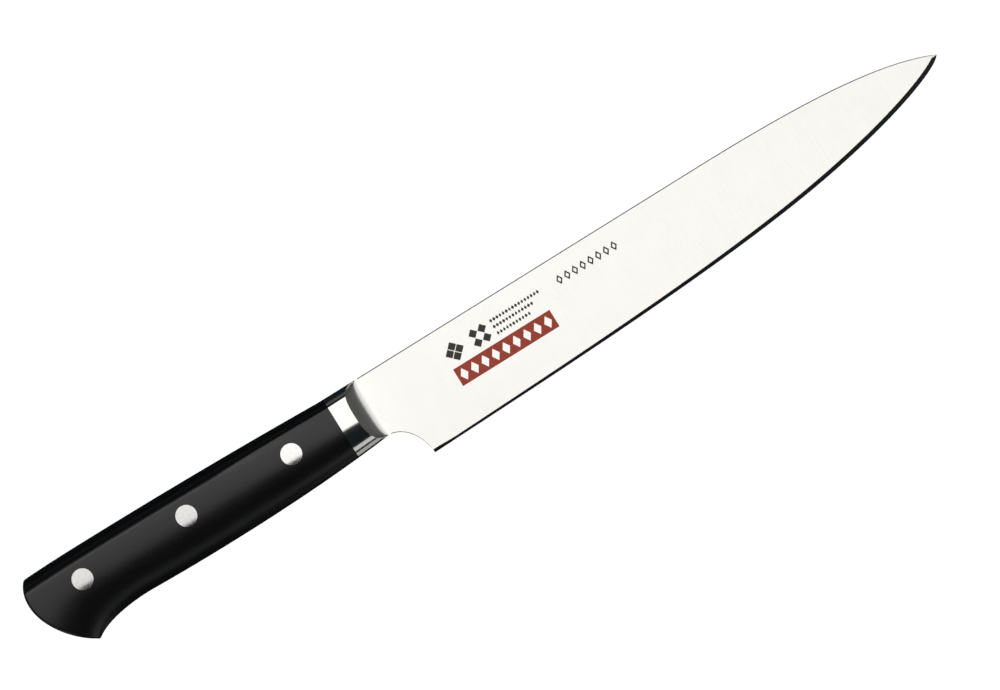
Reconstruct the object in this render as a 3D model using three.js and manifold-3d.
// A kitchen knife of full-tang construction, 333 mm long: a thin, slender blade on a two-part bolster,
// with two black grip scales held by three two-part rivets. Millimetres. The knife lies on its left
// side: +X runs to the tip, +Y is the side of the spine, +Z is up through the knife's thickness.
// Inside the model, x = 0 is the bolster's front, y = 0 the straight spine, z = 0 the middle of the steel.

import * as THREE from 'three';
import { ParametricGeometry } from 'three/addons/geometries/ParametricGeometry.js';
import { mergeVertices, toCreasedNormals } from 'three/addons/utils/BufferGeometryUtils.js';
import Module from 'manifold-3d';

const wasm = await Module();
wasm.setup();

// ---------------------------------------------------------------- driving dimensions

// Blade outline, seen from its right side
const BLADE_LENGTH = 200; // heel to tip
const BLADE_DEPTH = 32.75; // spine line to heel
const HEEL_REACH = 9.1; // bolster front to heel
const TIP_DROP = 9.7; // the tip lies this far below the spine line
const SPINE_FALL_LENGTH = 84; // the last stretch of the spine, where it falls to the tip
const EDGE_SWEEP_LENGTH = 69; // the last stretch of the edge, where it sweeps up to the tip
const EDGE_RISE = 5.9; // how far the edge has risen where that stretch starts

// Blade section
const STOCK = 1.6; // thickness of the steel at the tang and at the heel's spine
const TIP_STOCK = 0.9; // thickness that the spine has tapered to just before the tip
const APEX_HALF = 0.02; // half the thickness of the cutting edge itself
const BEVEL_AT_HEEL = 0.78; // height of the edge bevel
const BEVEL_AT_TIP = 1.65;
const BEVEL_SHARE = 0.5; // the bevel never takes more than this share of the blade's height
const SLOPE_AT_HEEL = 0.26; // half the thickness that the bevel gains per millimetre of its height
const SLOPE_AT_TIP = 0.2;
const TIP_SLOPE = 0.12; // next to the tip the spine is thinned to this share of the blade's height
const GRIND_RUNOUT = 10; // the grind fades from flat stock to the full wedge over this length

// Bolster
const BOLSTER_LENGTH = 12;
const BOLSTER_DEPTH = 20.4; // its height at the front, where the choil starts
const RAMP_RADIUS = 7; // the hollow that runs from the cheek's face down to the blade
const RAMP_OFFSET = 0.5; // the hollow's lowest line lies this far in front of the bolster
const RAMP_LIP = 0.2; // thickness left on the cheek at that line

// Grip
const HANDLE_LENGTH = 112.4; // the scales, from the bolster to the butt
const TOP_SWELL = 1.85; // the top line rises this far over the spine line
const BELLY_SWELL = 3.15; // the belly's fullest part, below the bolster's depth
const WAIST_SWELL = 1.9; // the belly in front of the beak, below the bolster's depth
const BEAK_DROP = 6.4; // the beak's point, below the bolster's depth
const BEAK_LENGTH = 34.4; // the beak starts this far in front of the butt
const BEAK_POINT = 13.3; // and its point lies this far in front of the butt
const BUTT_CORNER = 3.6; // the top line ends this far in front of the butt
const GRIP_HALF = 7.5; // half the thickness of the grip
const BOLSTER_HALF = 5.8; // half its thickness at the bolster's front
const GRIP_TAPER = 55; // the grip reaches full thickness this far behind the bolster's front
const CROWN_HALF = 2; // half the width of the flat along the top
const KEEL_HALF = 1.6; // half the width of the flat along the belly
const CREASE_AT_BOLSTER = 2.7; // height of the rounded shoulder between the top and the side
const CREASE_AT_GRIP = 3.3;
const FLAT_DROP = 8; // the side's flat ends this far below the top line
const BELLY_START = 2.1; // exponents of the belly's curve: a higher start stays flat for longer,
const BELLY_END = 1.5; // and a higher end turns in later

// Rivets
const RIVET_COUNT = 3;
const RIVET_FRONT_SETBACK = 17.4; // bolster to the first rivet
const RIVET_BUTT_SETBACK = 18.7; // butt to the last rivet
const RIVET_DROP = 9.9; // top line to each rivet's axis
const HEAD_RADIUS = 3.5;
const HEAD_DEPTH = 1.8;
const TUBE_RADIUS = 2.5;
const STUD_RADIUS = 1.45;
const STUD_CLEARANCE = 0.05; // radial, between the stud and the tube's bore
const HOLE_CLEARANCE = 0.08; // radial, between a rivet and the hole that it fills
const TUBE_END_GAP = 0.5; // the tube stops short of the other head
const STUD_END_GAP = 0.4; // the stud stops short of the bore's bottom

// Fineness of the curved surfaces
const BLADE_STATIONS = 56;
const GRIP_STATIONS = 40;
const CURVE_STEPS = 24;
const SHOULDER_STEPS = 4;
const BELLY_STEPS = 11;
const ROUND_STEPS = 48;
const RAMP_STEPS = 128;
const CREASE_ANGLE = 0.5;

// ---------------------------------------------------------------- places that follow from them

const TIP_X = HEEL_REACH + BLADE_LENGTH;
const BUTT_X = -BOLSTER_LENGTH - HANDLE_LENGTH;
const BEAK_X = BUTT_X + BEAK_POINT;
const HALF_STOCK = STOCK / 2;
const OVERRUN = 6; // cutting bodies and rough forms pass the finished shape by this much
const BEYOND = 60; // half the size of a cutting body that has no limit on that side

const STEEL = { color: 0xd6d5d1, roughness: 0.28, metalness: 1 };
const POLISHED_STEEL = { color: 0xd2d1cd, roughness: 0.14, metalness: 1 };
const BLACK_GRIP = { color: 0x17171a, roughness: 0.38, metalness: 0 };
const RIVET_STEEL = { color: 0xe2dfd8, roughness: 0.24, metalness: 1 };

// ---------------------------------------------------------------- lines of the side view

// The spine: straight, then one falling curve to the tip.
const spineLine = new THREE.Path();
spineLine.moveTo(-OVERRUN, 0);
spineLine.lineTo(TIP_X - SPINE_FALL_LENGTH, 0);
spineLine.bezierCurveTo(
  TIP_X - SPINE_FALL_LENGTH * 0.59, 0,
  TIP_X - SPINE_FALL_LENGTH * 0.21, -TIP_DROP * 0.144,
  TIP_X, -TIP_DROP,
);

// The edge: nearly straight from the heel, then a sweep up to the tip.
const EDGE_SWEEP_X = TIP_X - EDGE_SWEEP_LENGTH;
const edgeLine = new THREE.Path();
edgeLine.moveTo(-OVERRUN, -BLADE_DEPTH);
edgeLine.lineTo(HEEL_REACH, -BLADE_DEPTH);
edgeLine.bezierCurveTo(
  HEEL_REACH + 41, -BLADE_DEPTH + 1,
  EDGE_SWEEP_X - 39.8, -BLADE_DEPTH + EDGE_RISE - 4.2,
  EDGE_SWEEP_X, -BLADE_DEPTH + EDGE_RISE,
);
edgeLine.bezierCurveTo(
  EDGE_SWEEP_X + 40, -BLADE_DEPTH + EDGE_RISE + 4.1,
  TIP_X - 1.8, -TIP_DROP - 4,
  TIP_X, -TIP_DROP,
);

// The grip's top line, from the bolster back, and past the butt.
const TOP_FLAT_X = BUTT_X + 20.4;
const topLine = new THREE.Path();
topLine.moveTo(OVERRUN, 0);
topLine.lineTo(-BOLSTER_LENGTH - 2, 0);
topLine.quadraticCurveTo((TOP_FLAT_X - BOLSTER_LENGTH - 2) / 2, TOP_SWELL, TOP_FLAT_X, TOP_SWELL);
topLine.quadraticCurveTo(BUTT_X + 8, TOP_SWELL, BUTT_X - OVERRUN, TOP_SWELL - 0.7);

// The belly, from the bolster's front to the beak's point, and on past the butt.
const BEAK_START_X = BUTT_X + BEAK_LENGTH;
const bellyLine = new THREE.Path();
bellyLine.moveTo(OVERRUN, -BOLSTER_DEPTH);
bellyLine.lineTo(0, -BOLSTER_DEPTH);
bellyLine.bezierCurveTo(
  -25.1, -BOLSTER_DEPTH - BELLY_SWELL + 0.5,
  BEAK_START_X + 30.2, -BOLSTER_DEPTH - BELLY_SWELL,
  BEAK_START_X, -BOLSTER_DEPTH - WAIST_SWELL,
);
bellyLine.bezierCurveTo(
  BEAK_START_X - 7.3, -BOLSTER_DEPTH - WAIST_SWELL,
  BEAK_X + 4.7, -BOLSTER_DEPTH - BEAK_DROP + 3.5,
  BEAK_X, -BOLSTER_DEPTH - BEAK_DROP,
);
bellyLine.lineTo(BUTT_X - OVERRUN, -BOLSTER_DEPTH - BEAK_DROP - (BEAK_POINT + OVERRUN) * 0.75);

// Height of a line at one place along the knife. Each line runs one way only in x.
function heightAt(line, x) {
  const forward = line.getPoint(1).x > line.getPoint(0).x;
  let low = 0;
  let high = 1;
  for (let step = 0; step < 30; step += 1) {
    const middle = (low + high) / 2;
    if (line.getPoint(middle).x < x === forward) {
      low = middle;
    } else {
      high = middle;
    }
  }
  return line.getPoint(low).y;
}

// Everything behind the butt's curve, as an outline that closes far outside the knife.
function buttWaste() {
  const cornerX = BUTT_X + BUTT_CORNER;
  const cornerY = heightAt(topLine, cornerX);
  const waste = new THREE.Shape();
  waste.moveTo(cornerX, cornerY);
  waste.quadraticCurveTo(cornerX - 1.1, cornerY, cornerX - 1.5, cornerY - 0.6);
  waste.bezierCurveTo(
    BUTT_X - 4.8, -9.3,
    BEAK_X - 7.7, -BOLSTER_DEPTH - BEAK_DROP + 4.1,
    BEAK_X, -BOLSTER_DEPTH - BEAK_DROP,
  );
  waste.lineTo(BEAK_X, -BEYOND);
  waste.lineTo(BUTT_X - BEYOND, -BEYOND);
  waste.lineTo(BUTT_X - BEYOND, BEYOND);
  waste.lineTo(cornerX, BEYOND);
  return waste;
}

// Everything under the choil, the curve from the bolster's front down to the heel.
function choilWaste() {
  const waste = new THREE.Shape();
  waste.moveTo(-OVERRUN, -BOLSTER_DEPTH);
  waste.lineTo(0, -BOLSTER_DEPTH);
  waste.bezierCurveTo(
    HEEL_REACH - 4.2, -BOLSTER_DEPTH - 0.7,
    HEEL_REACH - 0.6, -BOLSTER_DEPTH - 5.4,
    HEEL_REACH, -BLADE_DEPTH,
  );
  waste.lineTo(HEEL_REACH, -BEYOND);
  waste.lineTo(-OVERRUN, -BEYOND);
  return waste;
}

// ---------------------------------------------------------------- solids

// A closed geometry as a solid: only positions, shared vertices merged, no empty triangles.
function toSolid(geometry) {
  const bare = geometry.clone();
  bare.deleteAttribute('normal');
  bare.deleteAttribute('uv');
  const merged = mergeVertices(bare, 1e-5);
  const corners = merged.index.array;
  const triangles = [];
  for (let i = 0; i < corners.length; i += 3) {
    const [a, b, c] = [corners[i], corners[i + 1], corners[i + 2]];
    if (a !== b && b !== c && c !== a) {
      triangles.push(a, b, c);
    }
  }
  return new wasm.Manifold(new wasm.Mesh({
    numProp: 3,
    vertProperties: new Float32Array(merged.attributes.position.array),
    triVerts: new Uint32Array(triangles),
  }));
}

function toGeometry(solid) {
  const { vertProperties, triVerts } = solid.getMesh();
  const geometry = new THREE.BufferGeometry();
  geometry.setAttribute('position', new THREE.BufferAttribute(vertProperties, 3));
  geometry.setIndex(new THREE.BufferAttribute(triVerts, 1));
  return toCreasedNormals(geometry, CREASE_ANGLE);
}

// A skin over sections that all have the same number of points, closed by a point at each end.
function loft(sections, startPoint, endPoint) {
  const around = sections[0].length;
  const rings = [Array(around).fill(startPoint), ...sections, Array(around).fill(endPoint)];
  const skin = (u, v, target) => {
    const ring = rings[Math.round(v * (rings.length - 1))];
    target.copy(ring[Math.round(u * around) % around]);
  };
  return toSolid(new ParametricGeometry(skin, around, rings.length - 1));
}

// A section at x from the points of its right half, listed from the top down as [y, z].
function section(x, half) {
  const right = half.map(([y, z]) => new THREE.Vector3(x, y, z));
  const left = half.map(([y, z]) => new THREE.Vector3(x, y, -z)).reverse();
  return [...right, ...left];
}

function extruded(shape, halfDepth) {
  const options = { depth: 2 * halfDepth, bevelEnabled: false, curveSegments: CURVE_STEPS };
  return toSolid(new THREE.ExtrudeGeometry(shape, options).translate(0, 0, -halfDepth));
}

function block(lowX, highX, lowZ, highZ) {
  const box = new THREE.BoxGeometry(highX - lowX, 2 * BEYOND, highZ - lowZ);
  return toSolid(box.translate((lowX + highX) / 2, 0, (lowZ + highZ) / 2));
}

// A round bar through the knife's thickness.
function bar(x, y, radius, lowZ, highZ) {
  const round = new THREE.CylinderGeometry(radius, radius, highZ - lowZ, ROUND_STEPS);
  return toSolid(round.rotateX(Math.PI / 2).translate(x, y, (lowZ + highZ) / 2));
}

// ---------------------------------------------------------------- blade

// Half sections of the blade: a flat wedge that thins towards the tip, a narrow edge bevel that grows
// wider towards the tip, and near the bolster the plain stock that the grind runs out into.
function bladeSection(x) {
  const top = heightAt(spineLine, x);
  const bottom = heightAt(edgeLine, x);
  const share = THREE.MathUtils.clamp((x - HEEL_REACH) / BLADE_LENGTH, 0, 1);
  const fullBevel = THREE.MathUtils.lerp(BEVEL_AT_HEEL, BEVEL_AT_TIP, share);
  const bevel = Math.min(fullBevel, BEVEL_SHARE * (top - bottom));
  const shoulderHalf = APEX_HALF + bevel * THREE.MathUtils.lerp(SLOPE_AT_HEEL, SLOPE_AT_TIP, share);
  const spineHalf = Math.min(
    THREE.MathUtils.lerp(HALF_STOCK, TIP_STOCK / 2, share),
    APEX_HALF + (top - bottom) * TIP_SLOPE,
  );
  const ground = THREE.MathUtils.smoothstep(x, 0, GRIND_RUNOUT);
  const half = (thickness) => THREE.MathUtils.lerp(HALF_STOCK, thickness, ground);
  return section(x, [
    [top, half(spineHalf)],
    [bottom + bevel, half(shoulderHalf)],
    [bottom, half(APEX_HALF)],
  ]);
}

function bladeForm() {
  const start = -1;
  const sections = [bladeSection(start), bladeSection(0)];
  for (let i = 1; i <= 8; i += 1) {
    sections.push(bladeSection((GRIND_RUNOUT * i) / 8));
  }
  for (let i = 1; i < BLADE_STATIONS; i += 1) {
    const share = 1 - (1 - i / BLADE_STATIONS) ** 1.5;
    sections.push(bladeSection(THREE.MathUtils.lerp(GRIND_RUNOUT, TIP_X, share)));
  }
  const startPoint = new THREE.Vector3(start, -BLADE_DEPTH / 2, 0);
  return loft(sections, startPoint, new THREE.Vector3(TIP_X, -TIP_DROP, 0));
}

// The tang has the whole outline of the handle, so its edge shows between the scales all round.
function tangPlate() {
  const rear = BUTT_X - OVERRUN / 2;
  const outline = [];
  for (let i = 0; i <= GRIP_STATIONS; i += 1) {
    const x = (rear * i) / GRIP_STATIONS;
    outline.push(new THREE.Vector2(x, heightAt(topLine, x)));
  }
  for (let i = GRIP_STATIONS; i >= 0; i -= 1) {
    const x = (rear * i) / GRIP_STATIONS;
    outline.push(new THREE.Vector2(x, heightAt(bellyLine, x)));
  }
  return extruded(new THREE.Shape(outline), HALF_STOCK);
}

// ---------------------------------------------------------------- grip

// Half the grip's thickness: it swells from the bolster's front and then stays even.
function gripHalf(x) {
  const remaining = Math.max(0, 1 + x / GRIP_TAPER);
  return GRIP_HALF - (GRIP_HALF - BOLSTER_HALF) * Math.min(remaining, 1) ** 2;
}

// Half sections of the grip: a flat top, a rounded shoulder, a flat side and a full belly curve.
function gripSection(x) {
  const top = heightAt(topLine, x);
  const bottom = heightAt(bellyLine, x);
  const side = gripHalf(x);
  const backward = THREE.MathUtils.clamp(-x / GRIP_TAPER, 0, 1);
  const crease = THREE.MathUtils.lerp(CREASE_AT_BOLSTER, CREASE_AT_GRIP, backward);
  const flatEnd = top - FLAT_DROP;
  const shoulder = new THREE.QuadraticBezierCurve(
    new THREE.Vector2(top, CROWN_HALF),
    new THREE.Vector2(top - 0.2 * crease, side - 0.4 * crease),
    new THREE.Vector2(top - crease, side),
  );
  const half = shoulder.getPoints(SHOULDER_STEPS).map((p) => [p.x, p.y]);
  for (let i = 0; i <= BELLY_STEPS; i += 1) {
    const fall = Math.sin((Math.PI / 2) * (i / BELLY_STEPS));
    const swell = Math.max(0, 1 - fall ** BELLY_START) ** (1 / BELLY_END);
    half.push([flatEnd - (flatEnd - bottom) * fall, KEEL_HALF + (side - KEEL_HALF) * swell]);
  }
  return section(x, half);
}

// The whole grip with its bolster as one rough form, which runs on past the butt and the bolster's
// front. Every piece of the grip is cut from it, so that neighbours are flush.
function gripForm() {
  const rear = BUTT_X - OVERRUN / 2;
  const front = OVERRUN / 2;
  const sections = [];
  for (let i = 0; i <= GRIP_STATIONS; i += 1) {
    sections.push(gripSection(THREE.MathUtils.lerp(rear, -BOLSTER_LENGTH, i / GRIP_STATIONS)));
  }
  sections.push(gripSection(-BOLSTER_LENGTH / 2), gripSection(0), gripSection(front));
  const middle = -BOLSTER_DEPTH / 2;
  const rearPoint = new THREE.Vector3(rear, middle, 0);
  return loft(sections, rearPoint, new THREE.Vector3(front, middle, 0));
}

const rivetPlaces = [];
for (let i = 0; i < RIVET_COUNT; i += 1) {
  const share = i / (RIVET_COUNT - 1);
  const first = -BOLSTER_LENGTH - RIVET_FRONT_SETBACK;
  const x = THREE.MathUtils.lerp(first, BUTT_X + RIVET_BUTT_SETBACK, share);
  rivetPlaces.push({ x, y: heightAt(topLine, x) - RIVET_DROP, seat: gripHalf(x) - HEAD_DEPTH });
}

const form = gripForm();
const buttCutter = extruded(buttWaste(), BEYOND);

function blade() {
  let solid = bladeForm().add(tangPlate()).subtract(buttCutter);
  solid = solid.subtract(extruded(choilWaste(), BEYOND));
  for (const { x, y } of rivetPlaces) {
    solid = solid.subtract(bar(x, y, TUBE_RADIUS + HOLE_CLEARANCE, -BEYOND, BEYOND));
  }
  return solid;
}

// side is +1 for the knife's right half, +Z, and -1 for its left half.
function sideBlock(side, lowX, highX) {
  const [low, high] = side > 0 ? [HALF_STOCK, BEYOND] : [-BEYOND, -HALF_STOCK];
  return block(lowX, highX, low, high);
}

function bolsterCheek(side) {
  const ramp = new THREE.CylinderGeometry(RAMP_RADIUS, RAMP_RADIUS, 2 * BEYOND, RAMP_STEPS);
  const rampHeight = HALF_STOCK + RAMP_LIP + RAMP_RADIUS;
  const hollow = toSolid(ramp.translate(RAMP_OFFSET, 0, side * rampHeight));
  return form.intersect(sideBlock(side, -BOLSTER_LENGTH, 0)).subtract(hollow);
}

// A scale has a stepped hole at each rivet: wide for the head, narrower for the tube.
function scale(side) {
  const rear = BUTT_X - BEYOND;
  let solid = form.intersect(sideBlock(side, rear, -BOLSTER_LENGTH)).subtract(buttCutter);
  for (const { x, y, seat } of rivetPlaces) {
    const [low, high] = side > 0 ? [seat, BEYOND] : [-BEYOND, -seat];
    solid = solid.subtract(bar(x, y, HEAD_RADIUS + HOLE_CLEARANCE, low, high));
    solid = solid.subtract(bar(x, y, TUBE_RADIUS + HOLE_CLEARANCE, -BEYOND, BEYOND));
  }
  return solid;
}

// ---------------------------------------------------------------- rivets

// The head's outer face is cut from the grip's own surface.
function rivetHead({ x, y, seat }, side) {
  const inner = seat + HOLE_CLEARANCE;
  const [low, high] = side > 0 ? [inner, BEYOND] : [-BEYOND, -inner];
  return form.intersect(bar(x, y, HEAD_RADIUS, low, high));
}

// The left half of a rivet is a tube that passes through the tang and both scales.
function rivetTube(place) {
  const { x, y, seat } = place;
  const tube = bar(x, y, TUBE_RADIUS, -seat - HEAD_DEPTH / 2, seat - TUBE_END_GAP);
  const bore = bar(x, y, STUD_RADIUS + STUD_CLEARANCE, -seat, BEYOND);
  return rivetHead(place, -1).add(tube).subtract(bore);
}

// The right half is a solid stud that is pressed into the tube.
function rivetStud(place) {
  const { x, y, seat } = place;
  const stud = bar(x, y, STUD_RADIUS, -seat + STUD_END_GAP, seat + HEAD_DEPTH / 2);
  return rivetHead(place, 1).add(stud);
}

// ---------------------------------------------------------------- assembly

function piece(name, solid, finish) {
  const mesh = new THREE.Mesh(toGeometry(solid), new THREE.MeshStandardMaterial(finish));
  mesh.name = name;
  return mesh;
}

const pieces = new THREE.Group();
pieces.add(
  piece('blade', blade(), STEEL),
  piece('bolster_cheek_right', bolsterCheek(1), POLISHED_STEEL),
  piece('bolster_cheek_left', bolsterCheek(-1), POLISHED_STEEL),
  piece('scale_right', scale(1), BLACK_GRIP),
  piece('scale_left', scale(-1), BLACK_GRIP),
);
rivetPlaces.forEach((place, index) => {
  const number = index + 1;
  pieces.add(
    piece(`rivet_${number}_stud`, rivetStud(place), RIVET_STEEL),
    piece(`rivet_${number}_tube`, rivetTube(place), RIVET_STEEL),
  );
});

// The knife's own origin is the middle of its footprint, on the surface that it lies on.
const bounds = new THREE.Box3().setFromObject(pieces);
const centre = bounds.getCenter(new THREE.Vector3());
pieces.position.set(-centre.x, -centre.y, -bounds.min.z);

const knife = new THREE.Group();
knife.add(pieces);

export default knife;
